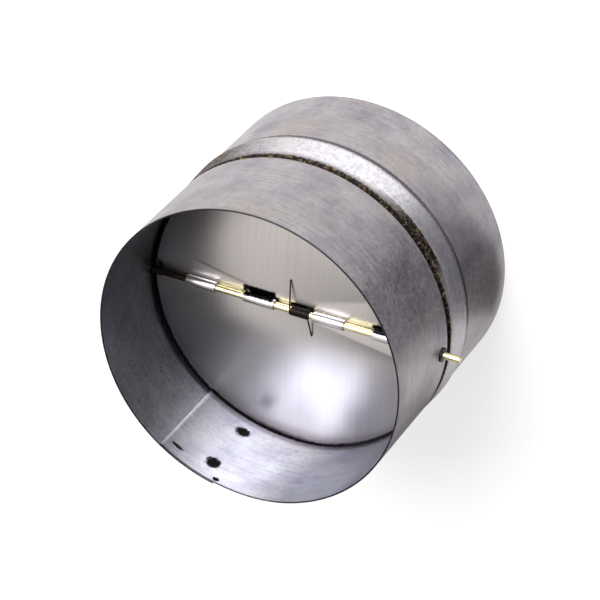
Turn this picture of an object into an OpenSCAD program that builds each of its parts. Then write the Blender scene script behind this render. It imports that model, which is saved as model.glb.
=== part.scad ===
// Spring-closed butterfly backdraft damper for a nominal 100 mm round duct.
// A rolled galvanised casing holds a brass hinge rod across its bore. Two half-round leaves hang on
// the rod by rolled knuckles and close on a ridge inside the casing, pressed by a torsion spring.
// The damper stands on its inlet rim: Z is the way the air flows, X runs along the rod.

/* [Casing] */
// Outside radius of the casing
casing_r = 50; // [42:0.5:80]
// Height from the inlet rim to the outlet rim
casing_h = 80; // [66:1:140]
// Thickness of the galvanised sheet
sheet_t = 0.5; // [0.4:0.05:0.6]

/* [Bead and groove] */
// Height of the middle of the seat groove above the inlet rim
groove_z = 43.4; // [36:0.1:54]
// How deep the groove is pressed in from outside
groove_depth = 1.6; // [1.2:0.05:2]
// Half the width of the groove
groove_half_w = 1.5; // [1.3:0.05:2]
// Length of the raised bead below the groove
bead_l = 13.2; // [9:0.1:20]
// How far its crest stands out, before it runs down to the groove
bead_h = 0.6; // [0.3:0.05:1]
// Length over which the bead rises on its inlet side
bead_rise_l = 2.5; // [1.5:0.1:4]

/* [Lap seam] */
// Direction of the inner layer's cut edge, seen from the outlet
lap_edge_a = -125; // [-135:1:-115]
// Direction of the outer layer's cut edge
lap_end_a = -101; // [-108:1:-98]
// Angle over which the two layers grow together, beside the outer layer's other end
joggle_a = 0.6; // [0.4:0.1:2]
// Gap between the two layers, away from the welds
lap_gap = 0.03; // [0.02:0.01:0.1]
// Angle of the slit that stays open beside the outer layer's cut edge
lap_end_gap_a = 0.3; // [0.2:0.1:1]
// Direction of the row of spot welds
weld_a = -105.5; // [-112:0.5:-104]
// Diameter of the dent that a spot weld leaves inside
weld_d = 5.2; // [3:0.1:7]
// Depth of that dent
weld_depth = 0.2; // [0.1:0.05:0.3]
// How much smaller the weld itself is
weld_edge_w = 1.2; // [0.5:0.1:2]
// Distance of the outermost welds from the rims
weld_rim_gap = 7.7; // [5:0.1:12]
// Distance of the weld below the groove from it
weld_below_groove = 23.4; // [18:0.1:26]
// Distance of the weld above the groove from it
weld_above_groove = 9.2; // [7:0.1:12]

/* [Hinge rod and bushes] */
// Height of the rod's axis above the middle of the groove
hinge_above_groove = 5; // [4.5:0.1:8]
// Radius of the rod
rod_r = 1.1; // [0.9:0.05:1.6]
// How far the rod stands out of the casing at each end
rod_stub_l = 6; // [3:0.5:12]
// Width of the bevel round the rod's ends
rod_bevel = 0.25; // [0.1:0.05:0.4]
// Radial gap between the rod and its bush
bush_bore_gap = 0.02; // [0.01:0.01:0.05]
// Wall of the bush where it passes through the casing
bush_wall = 0.48; // [0.4:0.02:0.8]
// Radial gap between the bush and its hole in the casing
bush_hole_gap = 0.05; // [0.02:0.01:0.1]
// How far the bush's outer flange reaches past the hole
bush_flange_w = 0.65; // [0.4:0.05:1.2]
// Thickness of that flange
bush_flange_t = 0.6; // [0.4:0.05:1]
// How far the bush's snap lip reaches past the hole, inside
bush_lip_w = 0.35; // [0.2:0.05:0.6]
// Thickness of the snap lip
bush_lip_t = 0.5; // [0.4:0.05:0.8]
// Gap between the casing and the flange and lip that clasp it
bush_clasp_gap = 0.03; // [0.01:0.01:0.1]

/* [Leaves] */
// Thickness of a leaf
leaf_t = 0.5; // [0.4:0.05:0.6]
// Gap between a leaf's round edge and the casing's wall
leaf_side_gap = 1.1; // [0.9:0.05:1.4]
// Play along the rod, taken up towards the +X side
leaf_shift = 0.5; // [0:0.1:0.5]
// Gap between a closed leaf and the ridge that it rests on
seat_gap = 0.3; // [0.2:0.05:0.5]
// Distance of a leaf's straight edge from the rod's axis
edge_gap = 0.3; // [0.2:0.05:0.6]
// How far a corner is cut back along the rod, to clear the bush
corner_cut_x = 2; // [1.6:0.1:3]
// How far a corner is cut back from the rod's axis
corner_cut_y = 2.7; // [2.6:0.1:4]

/* [Knuckles] */
// Radial gap between a knuckle and the rod
knuckle_gap = 0.05; // [0.02:0.01:0.08]
// Angle through which a knuckle is rolled
knuckle_wrap = 302; // [270:1:306]
// Distance of the inner knuckle from the middle of the leaf
inner_knuckle_from = 6.6; // [6.6:0.1:9]
// Length of the inner knuckle
inner_knuckle_l = 10.4; // [6:0.1:10.4]
// Distance of the outer knuckle from the leaf's end
outer_knuckle_inset = 11.5; // [5:0.1:11.5]
// Length of the outer knuckle
outer_knuckle_l = 10; // [6:0.1:10]
// Gap on each side of a knuckle in the other leaf's notch
notch_side_gap = 0.4; // [0.3:0.05:0.8]
// Gap between a knuckle and the bottom of the other leaf's notch
notch_depth_gap = 0.25; // [0.2:0.05:0.8]

/* [Torsion spring] */
// Diameter of the spring wire
wire_d = 0.5; // [0.4:0.05:0.6]
// Number of turns
spring_turns = 11; // [7:1:11]
// Gap between two turns
turn_gap = 0.06; // [0.03:0.01:0.08]
// Radial gap between the spring and the rod
spring_gap = 0.06; // [0.04:0.01:0.12]
// Middle of the spring along the rod
spring_x = 2.6; // [2.4:0.1:2.8]
// Gap round the spring in the leaves
window_gap = 0.6; // [0.4:0.05:0.7]
// Distance of the upper leg's tip from the rod
upper_leg_l = 9.6; // [5:0.1:15]
// How far that tip leans along the rod
upper_leg_lean = 1.4; // [0:0.1:2]
// Distance of the lower leg's tip from the rod
lower_leg_l = 8; // [5:0.1:15]
// How far that tip leans along the rod
lower_leg_lean = 0.5; // [0:0.1:2]
// Gap between a leg and the leaf that it presses on
leg_gap = 0.05; // [0.02:0.01:0.1]

/* [Hidden] */

galvanised = "#a7a3ad";
aluminium = "#b3aeb0";
brass = "#d9c36a";
nylon = "#1b1a1c";
spring_steel = "#26242a";

// Smoothness of the large circles, the small ones and the spring wire
large_fn = 180;
small_fn = 64;
wire_sides = 8;
turn_steps = 16;
cut_over = 1;

// Heights that follow from the groove
hinge_z = groove_z + hinge_above_groove;
groove_start = groove_z - groove_half_w;
groove_end = groove_z + groove_half_w;
bead_end_in_groove = 0.5;
bead_end = groove_start + bead_end_in_groove;
bead_start = bead_end - bead_l;
bead_crest = bead_start + bead_rise_l;
weld_heights = [weld_rim_gap, groove_z - weld_below_groove,
                groove_z + weld_above_groove, casing_h - weld_rim_gap];

// The path of the sheet's middle, as a radius at height z
function ramp(z, a, b) = z <= a ? 0 : z >= b ? 1 : (1 - cos(180 * (z - a) / (b - a))) / 2;
function bead(z) = bead_h * (z <= bead_crest ? ramp(z, bead_start, bead_crest)
                             : max(0, (bead_end - z) / (bead_end - bead_crest)));
function groove(z) = groove_depth * (ramp(z, groove_start, groove_z)
                                     - ramp(z, groove_z, groove_end));
function middle_r(z) = casing_r - sheet_t / 2 + bead(z) - groove(z);

// The surface that lies depth inside that path, measured square to it. A negative depth is outside.
reach_steps = 6;
function surface_r(z, depth) =
    let (d = abs(depth), side = depth < 0 ? 1 : -1)
    let (radii = [for (i = [-reach_steps:reach_steps])
                  let (u = d * i / reach_steps)
                  middle_r(z + u) + side * sqrt(max(0, d * d - u * u))])
    depth < 0 ? max(radii) : min(radii);

// Heights at which the section has a point: close together only where it bends
margin = 0.5;
rise_steps = 8;
groove_steps = 22;
function spread(a, b, n) = [for (i = [0:n]) a + (b - a) * i / n];
stations = concat(
    [0],
    spread(bead_start - margin, bead_crest + margin, rise_steps),
    spread(groove_start - margin, groove_end + margin, groove_steps),
    [casing_h]);

// How deep a layer's middle lies. Step 0 is the outer layer and step 1 the layer tucked under it.
function layer_depth(step) = step * (sheet_t + lap_gap);

module layer_section(step) {
    outside = [for (z = stations) [surface_r(z, layer_depth(step) - sheet_t / 2), z]];
    inside = [for (z = stations) [surface_r(z, layer_depth(step) + sheet_t / 2), z]];
    n = len(stations);
    polygon(concat(outside, [for (i = [1:n]) inside[n - i]]));
}

module layer(step, from_a, to_a) {
    rotate_extrude(angle = to_a - from_a, start = from_a, $fn = large_fn)
        layer_section(step);
}

// The steel between the middles of the two layers where one grows out of the other
joggle_inset_a = 0.05;
module joggle() {
    heights = [for (z = stations) min(max(z, cut_over), casing_h - cut_over)];
    n = len(heights);
    rotate_extrude(angle = joggle_a - 2 * joggle_inset_a, start = lap_end_a + joggle_inset_a, $fn = large_fn)
        polygon(concat([for (z = heights) [surface_r(z, 0), z]],
                       [for (i = [1:n]) [surface_r(heights[n - i], layer_depth(1)), heights[n - i]]]));
}

module casing() {
    weld_ball_r = (weld_d * weld_d / 4 + weld_depth * weld_depth) / (2 * weld_depth);
    lap_inner_r = casing_r - layer_depth(1) - sheet_t;
    color(galvanised)
        difference() {
            union() {
                layer(0, lap_end_a, lap_end_a + 360 - lap_end_gap_a);
                joggle();
                layer(1, lap_edge_a, lap_end_a + joggle_a);
                // Welds across the gap between the two layers
                for (z = weld_heights)
                    rotate([0, 0, weld_a])
                        translate([lap_inner_r + sheet_t / 2, 0, z])
                            rotate([0, 90, 0])
                                cylinder(d = weld_d - weld_edge_w, h = sheet_t + lap_gap, $fn = small_fn);
            }
            // Holes for the bushes
            translate([0, 0, hinge_z])
                rotate([0, 90, 0])
                    cylinder(r = bush_hole_r, h = 2 * (casing_r + cut_over), center = true, $fn = small_fn);
            // Dents of the spot welds
            for (z = weld_heights)
                rotate([0, 0, weld_a])
                    translate([lap_inner_r + weld_depth - weld_ball_r, 0, z])
                        sphere(r = weld_ball_r, $fn = small_fn);
        }
}

bush_bore_r = rod_r + bush_bore_gap;
bush_r = bush_bore_r + bush_wall;
bush_hole_r = bush_r + bush_hole_gap;

// Turns a shape made along Z to lie along X, with its X along Y and its Y along Z
module along_x() {
    rotate([90, 0, 90])
        children();
}

module hinge_rod() {
    half_l = casing_r + rod_stub_l;
    color(brass)
        translate([0, 0, hinge_z])
            along_x()
                rotate_extrude($fn = small_fn)
                    polygon([[0, -half_l], [rod_r - rod_bevel, -half_l], [rod_r, rod_bevel - half_l],
                             [rod_r, half_l - rod_bevel], [rod_r - rod_bevel, half_l], [0, half_l]]);
}

// One bush, pushed through the wall on the +X side: flange outside, barrel in the hole, lip inside
module bush() {
    flange_r = bush_hole_r + bush_flange_w;
    lip_r = bush_hole_r + bush_lip_w;
    flange_x = casing_r + bush_clasp_gap;
    wall_in_x = sqrt(pow(casing_r - sheet_t, 2) - lip_r * lip_r);
    lip_x = wall_in_x - bush_clasp_gap;
    color(nylon)
        translate([0, 0, hinge_z])
            along_x()
                rotate_extrude($fn = small_fn)
                    polygon([[bush_bore_r, lip_x - bush_lip_t], [lip_r - bush_lip_w / 2, lip_x - bush_lip_t],
                             [lip_r, lip_x - bush_lip_t / 3], [lip_r, lip_x], [bush_r, lip_x],
                             [bush_r, flange_x], [flange_r, flange_x],
                             [flange_r, flange_x + bush_flange_t / 2],
                             [flange_r - bush_flange_w / 3, flange_x + bush_flange_t],
                             [bush_bore_r, flange_x + bush_flange_t]]);
}

module pivot_bush_right() {
    bush();
}

module pivot_bush_left() {
    mirror([1, 0, 0])
        bush();
}

knuckle_in_r = rod_r + knuckle_gap;
knuckle_out_r = knuckle_in_r + leaf_t;
leaf_r = casing_r - sheet_t - leaf_side_gap;
inner_knuckle = [inner_knuckle_from, inner_knuckle_from + inner_knuckle_l];
outer_knuckle = [outer_knuckle_inset - leaf_r, outer_knuckle_inset + outer_knuckle_l - leaf_r];

// Closed, the leaf slopes down from the rod until its far edge is just above the lapped ridge
flank = [for (i = [0:groove_steps])
         let (z = groove_end + margin - (groove_half_w + margin) * i / groove_steps)
         [surface_r(z, layer_depth(1) + sheet_t / 2), z]];
flank_up = [for (i = [0:groove_steps]) flank[groove_steps - i]];
seat_z = lookup(leaf_r, flank_up) + seat_gap;
leaf_slope = asin((hinge_z - seat_z) / norm([leaf_r, knuckle_out_r]))
             - atan(knuckle_out_r / leaf_r);

// Length of the spring and the places of its ends along the rod
spring_pitch = wire_d + turn_gap;
spring_l = spring_turns * spring_pitch;
spring_from = spring_x - spring_l / 2;
spring_to = spring_x + spring_l / 2;
window = [spring_from - wire_d / 2 - window_gap, spring_to + wire_d / 2 + window_gap];

// A knuckle rolled out of the leaf's edge, round the rod from behind
module knuckle(span) {
    translate([span[0], 0, 0])
        along_x()
            rotate([0, 0, 270])
                mirror([0, 1, 0])
                    rotate_extrude(angle = knuckle_wrap, $fn = small_fn)
                        translate([knuckle_in_r, 0])
                            square([leaf_t, span[1] - span[0]]);
}

module strip(from_x, to_x, from_y, to_y) {
    translate([from_x, from_y])
        square([to_x - from_x, to_y - from_y]);
}

// Outline of a leaf, as it was punched, from its straight edge to its round one
module leaf_outline(spring_window) {
    notch_y = knuckle_out_r + notch_depth_gap;
    difference() {
        intersection() {
            circle(r = leaf_r, $fn = large_fn);
            strip(-leaf_r, leaf_r, edge_gap, leaf_r);
        }
        // Notches for the other leaf's knuckles, which lie at the opposite places
        for (k = [inner_knuckle, outer_knuckle])
            strip(-k[1] - notch_side_gap, -k[0] + notch_side_gap, 0, notch_y);
        strip(spring_window[0], spring_window[1], 0, notch_y + wire_d / 2);
        // Corners cut back round the bushes
        strip(leaf_r - corner_cut_x, leaf_r, 0, corner_cut_y);
        strip(-leaf_r, corner_cut_x - leaf_r, 0, corner_cut_y);
    }
    for (k = [inner_knuckle, outer_knuckle])
        strip(k[0], k[1], 0, edge_gap);
}

// A leaf with the rod's axis along X through the origin
module leaf(spring_window) {
    translate([0, 0, -knuckle_out_r])
        linear_extrude(height = leaf_t)
            leaf_outline(spring_window);
    knuckle(inner_knuckle);
    knuckle(outer_knuckle);
}

module upper_leaf() {
    color(aluminium)
        translate([leaf_shift, 0, hinge_z])
            rotate([-leaf_slope, 0, 0])
                leaf([window[0] - leaf_shift, window[1] - leaf_shift]);
}

module lower_leaf() {
    // The window runs into the notch beside it
    far_end = max(window[1] - leaf_shift, inner_knuckle[0] - notch_side_gap);
    color(aluminium)
        translate([leaf_shift, 0, hinge_z])
            rotate([leaf_slope, 0, 0])
                rotate([0, 0, 180])
                    leaf([-far_end, leaf_shift - window[0]]);
}

// The wire's middle line: upper leg, turns round the rod, lower leg. A turn is a row of short straight
// stretches, whose middles keep the gap to the rod.
coil_r = (rod_r + spring_gap + wire_d / 2) / cos(180 / turn_steps);
leaf_face = knuckle_out_r - leaf_t;
function leg_rest_z(y) = -(leaf_face - wire_d / 2 - leg_gap) / cos(leaf_slope) - y * tan(leaf_slope);
leg_steps = 4;
upper_tip = [spring_from - upper_leg_lean, upper_leg_l, leg_rest_z(upper_leg_l)];
upper_root = [spring_from, 0, coil_r];
lower_root = [spring_to, 0, coil_r];
lower_tip = [spring_to + lower_leg_lean, -lower_leg_l, leg_rest_z(lower_leg_l)];
function between(a, b, n) = [for (i = [0:n - 1]) a + (b - a) * i / n];
function turn_point(i) =
    let (a = 90 + 360 * i / turn_steps)
    [spring_from + spring_pitch * i / turn_steps, coil_r * cos(a), coil_r * sin(a)];
wire_path = concat(
    between(upper_tip, upper_root, leg_steps),
    [for (i = [0:turn_steps * spring_turns]) turn_point(i)],
    [for (p = between(lower_tip, lower_root, leg_steps)) p]);

// The lower leg's points come tip first, so they are taken in reverse order
turns_end = leg_steps + turn_steps * spring_turns;
wire_points = [for (i = [0:turns_end + leg_steps])
               i <= turns_end ? wire_path[i] : wire_path[2 * turns_end + leg_steps + 1 - i]];

function unit(v) = v / norm(v);
function wire_way(i) =
    unit(wire_points[min(i + 1, len(wire_points) - 1)] - wire_points[max(i - 1, 0)]);
function wire_ring(i) =
    let (way = wire_way(i), out = unit(cross(way, [1, 0, 0])), side = cross(way, out))
    [for (j = [0:wire_sides - 1])
     let (a = 360 * j / wire_sides)
     wire_points[i] + wire_d / 2 * (cos(a) * out + sin(a) * side)];

module torsion_spring() {
    rings = len(wire_points);
    last = (rings - 1) * wire_sides;
    ends = [[for (j = [0:wire_sides - 1]) j],
            [for (j = [0:wire_sides - 1]) last + wire_sides - 1 - j]];
    sides = [for (i = [0:rings - 2], j = [0:wire_sides - 1])
             let (a = i * wire_sides + j, b = i * wire_sides + (j + 1) % wire_sides)
             [a, a + wire_sides, b + wire_sides, b]];
    color(spring_steel)
        translate([0, 0, hinge_z])
            polyhedron(points = [for (i = [0:rings - 1]) each wire_ring(i)], faces = concat(ends, sides));
}

casing();
hinge_rod();
pivot_bush_right();
pivot_bush_left();
upper_leaf();
lower_leaf();
torsion_spring();
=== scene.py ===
"""Looks of a spring-closed butterfly backdraft damper for a round duct.

The damper stands on its inlet rim: Z is the way the air flows and X runs along the hinge rod.
Sizes are in millimetres and angles in degrees, and are turned into metres and radians where
Blender takes them.
"""

import logging
import math
from dataclasses import dataclass
from enum import Enum
from functools import partial
from typing import Callable, Optional, Sequence, Union

import bmesh
import bpy
from mathutils import Matrix, Vector


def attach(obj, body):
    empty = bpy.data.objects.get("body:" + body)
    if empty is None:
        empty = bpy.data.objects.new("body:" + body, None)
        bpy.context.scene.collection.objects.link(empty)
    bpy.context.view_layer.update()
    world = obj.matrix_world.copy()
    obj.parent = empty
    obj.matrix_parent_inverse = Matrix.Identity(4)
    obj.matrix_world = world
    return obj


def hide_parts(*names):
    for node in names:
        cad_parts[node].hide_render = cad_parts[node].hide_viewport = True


LOG = logging.getLogger("damper")
MM = 0.001
DEGREE = math.radians(1)
QUARTER_TURN = math.radians(90)
MERGE_MM = 0.0005
SRGB_KNEE, SRGB_SLOPE, SRGB_LIFT, SRGB_POWER = 0.04045, 12.92, 0.055, 2.4
HINGE_Z = 48.4
SMOOTH = {"interpolation_type": "SMOOTHSTEP"}

Piece = bpy.types.Object
Material = bpy.types.Material
Socket = bpy.types.NodeSocket
Tones = tuple[tuple[float, str], ...]
AddNode = Callable[..., Socket]

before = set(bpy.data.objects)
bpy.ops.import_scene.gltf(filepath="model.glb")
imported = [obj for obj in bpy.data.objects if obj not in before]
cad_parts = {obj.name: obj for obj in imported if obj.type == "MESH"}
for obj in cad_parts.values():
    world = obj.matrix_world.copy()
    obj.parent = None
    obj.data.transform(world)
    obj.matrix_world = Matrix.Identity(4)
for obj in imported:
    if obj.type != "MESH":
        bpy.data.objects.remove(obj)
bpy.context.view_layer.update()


# Shared helpers


def linear(hex_colour: str) -> tuple[float, float, float, float]:
    """Turns an sRGB hex colour into the linear colour that a socket takes.

    Args:
        hex_colour: the colour as "#rrggbb".

    Returns:
        Linear red, green, blue and an alpha of 1.
    """
    parts = [int(hex_colour[i : i + 2], 16) / 255 for i in (1, 3, 5)]
    red, green, blue = (
        c / SRGB_SLOPE if c <= SRGB_KNEE else ((c + SRGB_LIFT) / (1 + SRGB_LIFT)) ** SRGB_POWER
        for c in parts
    )
    return (red, green, blue, 1.0)


def add_node(
    tree: bpy.types.NodeTree,
    kind: str,
    inputs: Union[dict, Sequence] = (),
    out: Union[int, str] = 0,
    stops: Tones = (),
    **settings: object,
) -> Optional[Socket]:
    """Adds a shader node, sets it up and links it.

    Args:
        tree: the node tree it goes into.
        kind: the node's type without the ShaderNode in front.
        inputs: what its sockets take, in their order or by their name or number. Each is a plain
            value, a hex colour, or the output socket that feeds it.
        out: the name or number of the output that is wanted.
        stops: places and hex colours of a colour ramp.
        settings: the node's own properties.

    Returns:
        The wanted output, or None where the node has no output.
    """
    made = tree.nodes.new("ShaderNode" + kind)
    for name, value in settings.items():
        setattr(made, name, value)
    pairs = inputs.items() if isinstance(inputs, dict) else enumerate(inputs)
    for key, value in pairs:
        if isinstance(value, Socket):
            tree.links.new(value, made.inputs[key])
        else:
            made.inputs[key].default_value = linear(value) if isinstance(value, str) else value
    for i, (position, colour) in enumerate(stops):
        if i >= len(made.color_ramp.elements):
            made.color_ramp.elements.new(position)
        made.color_ramp.elements[i].position = position
        made.color_ramp.elements[i].color = linear(colour)
    return made.outputs[out] if made.outputs else None


def new_material(name: str) -> tuple[Material, AddNode]:
    """Starts an empty material.

    Args:
        name: the material's name.

    Returns:
        The material, and add_node for its tree.
    """
    material = bpy.data.materials.new(name)
    material.use_nodes = True
    material.node_tree.nodes.clear()
    return material, partial(add_node, material.node_tree)


def deselect() -> None:
    """Leaves edit mode and deselects every object."""
    if bpy.context.object is not None and bpy.context.object.mode != "OBJECT":
        bpy.ops.object.mode_set(mode="OBJECT")
    bpy.ops.object.select_all(action="DESELECT")


def pick(*pieces: Piece) -> None:
    """Selects these objects alone, the first one active.

    Args:
        pieces: the objects to select.
    """
    deselect()
    for piece in pieces:
        piece.select_set(True)
    bpy.context.view_layer.objects.active = pieces[0]


def settle(piece: Piece) -> None:
    """Moves the object's place, turn and scale into its mesh."""
    pick(piece)
    bpy.ops.object.transform_apply(location=True, rotation=True, scale=True)


def open_whole(piece: Piece) -> None:
    """Opens a piece in edit mode with all of it selected.

    Args:
        piece: the object to edit.
    """
    pick(piece)
    bpy.ops.object.mode_set(mode="EDIT")
    bpy.ops.mesh.select_mode(type="VERT")
    bpy.ops.mesh.select_all(action="SELECT")


def choose(piece: Piece, mode: str, wanted: Callable[[object], bool]) -> None:
    """Opens a piece in edit mode and selects part of it.

    Args:
        piece: the object to edit.
        mode: VERT, EDGE or FACE.
        wanted: says of each vertex, edge or face whether it is selected.
    """
    pick(piece)
    bpy.ops.object.mode_set(mode="EDIT")
    bpy.ops.mesh.select_mode(type=mode)
    bpy.ops.mesh.select_all(action="DESELECT")
    work = bmesh.from_edit_mesh(piece.data)
    work.normal_update()
    for part in {"VERT": work.verts, "EDGE": work.edges, "FACE": work.faces}[mode]:
        if wanted(part):
            part.select_set(True)
    bmesh.update_edit_mesh(piece.data)


def tidy_mesh(piece: Piece) -> None:
    """Merges doubled points and turns every face outwards.

    Args:
        piece: the object to tidy.
    """
    open_whole(piece)
    bpy.ops.mesh.remove_doubles(threshold=MERGE_MM * MM)
    bpy.ops.mesh.normals_make_consistent(inside=False)
    deselect()


def shade(piece: Piece, sharp_from: float = 32.0) -> None:
    """Shades a piece smooth, apart from edges sharper than an angle in degrees."""
    pick(piece)
    bpy.ops.object.shade_smooth_by_angle(angle=math.radians(sharp_from))


def apply_modifier(piece: Piece, kind: str, **settings: object) -> None:
    """Adds a modifier and applies it.

    Args:
        piece: the object it works on.
        kind: the modifier's type.
        settings: the modifier's properties.
    """
    pick(piece)
    modifier = piece.modifiers.new(kind.title(), kind)
    for name, value in settings.items():
        setattr(modifier, name, value)
    bpy.ops.object.modifier_apply(modifier=modifier.name)


def pull_along(route: Sequence[Vector]) -> None:
    """Extrudes what is selected along a line.

    Args:
        route: the line's points in millimetres, from where the selected part is.
    """
    for here, there in zip(route, route[1:]):
        bpy.ops.mesh.extrude_region_move(TRANSFORM_OT_translate={"value": (there - here) * MM})


def draw_outline(name: str, points: Sequence[Vector]) -> Piece:
    """Draws a closed line of edges by pulling one point along it.

    Args:
        name: the new object's name.
        points: the corners of the line, in millimetres.

    Returns:
        An object with no faces yet.
    """
    deselect()
    bpy.ops.mesh.primitive_plane_add(size=MM, location=points[0] * MM)
    piece = bpy.context.object
    piece.name = name
    settle(piece)
    open_whole(piece)
    bpy.ops.mesh.merge(type="CENTER")
    pull_along([*points, points[0]])
    bpy.ops.mesh.select_all(action="SELECT")
    bpy.ops.mesh.remove_doubles(threshold=MERGE_MM * MM)
    deselect()
    return piece


def spin_round(piece: Piece, centre: Vector, axis: Vector, degrees: float, steps: int) -> None:
    """Spins everything in a piece round an axis.

    Args:
        piece: the object whose lines or faces are spun.
        centre: a point on the axis, in millimetres.
        axis: the direction of the axis.
        degrees: how far it is spun, counter-clockwise about the axis.
        steps: into how many steps.
    """
    open_whole(piece)
    bpy.ops.mesh.spin(
        steps=steps, angle=-math.radians(degrees), center=centre * MM, axis=axis, dupli=False
    )
    deselect()


def lay_bar(radius: float, length: float, sides: int = 48) -> Piece:
    """Lays a closed bar along the hinge's line.

    Args:
        radius: its radius.
        length: its length, half of it to either side of the middle.
        sides: how many sides it has.

    Returns:
        The bar.
    """
    deselect()
    bpy.ops.mesh.primitive_cylinder_add(
        vertices=sides,
        radius=radius * MM,
        depth=length * MM,
        location=(0, 0, HINGE_Z * MM),
        rotation=(0, QUARTER_TURN, 0),
    )
    return bpy.context.object


def dress(piece: Piece, *materials: Material) -> None:
    """Gives a piece its materials.

    Args:
        piece: the piece.
        materials: its materials, in slot order.
    """
    piece.data.materials.clear()
    for material in materials:
        piece.data.materials.append(material)


def place(piece: Piece, body: str, node: str) -> None:
    """Hands a finished piece over to the frame.

    Args:
        piece: the finished object.
        body: the CAD body that it rides on.
        node: the CAD node that it stands for.
    """
    settle(piece)
    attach(piece, body)
    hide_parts(node)
    LOG.info("%s: %d faces, rides on %s", piece.name, len(piece.data.polygons), body)


# Finishes


@dataclass(frozen=True)
class Grain:
    """A cloudy pattern: the size of its clouds along X, Y and Z, and how broken up they are."""

    size: tuple[float, float, float]
    detail: float = 2.0
    roughness: float = 0.5
    distortion: float = 0.0


@dataclass(frozen=True)
class Stretch:
    """A stretch of a length or of an angle, and how far its ends are blurred to either side."""

    low: float
    high: float
    soft: float

    def mask(self, add: AddNode, measure: Socket, unit: float) -> Socket:
        """Adds a mask that is 1 in the stretch.

        Args:
            add: adds a node.
            measure: the socket that is measured.
            unit: the size of a millimetre or a degree there.

        Returns:
            The mask.
        """
        low, high, soft = self.low * unit, self.high * unit, self.soft * unit
        rise = add("MapRange", (measure, low - soft, low + soft), **SMOOTH)
        fall = add("MapRange", (measure, high - soft, high + soft, 1.0, 0.0), **SMOOTH)
        return add("Math", (rise, fall), operation="MULTIPLY")


@dataclass(frozen=True)
class Scorch:
    """A burnt spot on the inner wall, such as a spot weld leaves."""

    azimuth: float
    height: float
    along: float
    across: float


def add_grains(add: AddNode, where: Socket, grains: Sequence[Grain]) -> list[Socket]:
    """Adds a finish's cloudy patterns, scaled from their sizes in millimetres.

    Args:
        add: adds a node.
        where: the object's coordinates, in metres.
        grains: the patterns.

    Returns:
        The patterns, in order.
    """
    patterns = []
    for grain in grains:
        scales = tuple(1.0 / (size * MM) for size in grain.size)
        spread = add("VectorMath", (where, scales), operation="MULTIPLY")
        character = {"Detail": grain.detail, "Roughness": grain.roughness, "Distortion": grain.distortion}
        patterns.append(add("TexNoise", {"Vector": spread, "Scale": 1.0, **character}))
    return patterns


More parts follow.
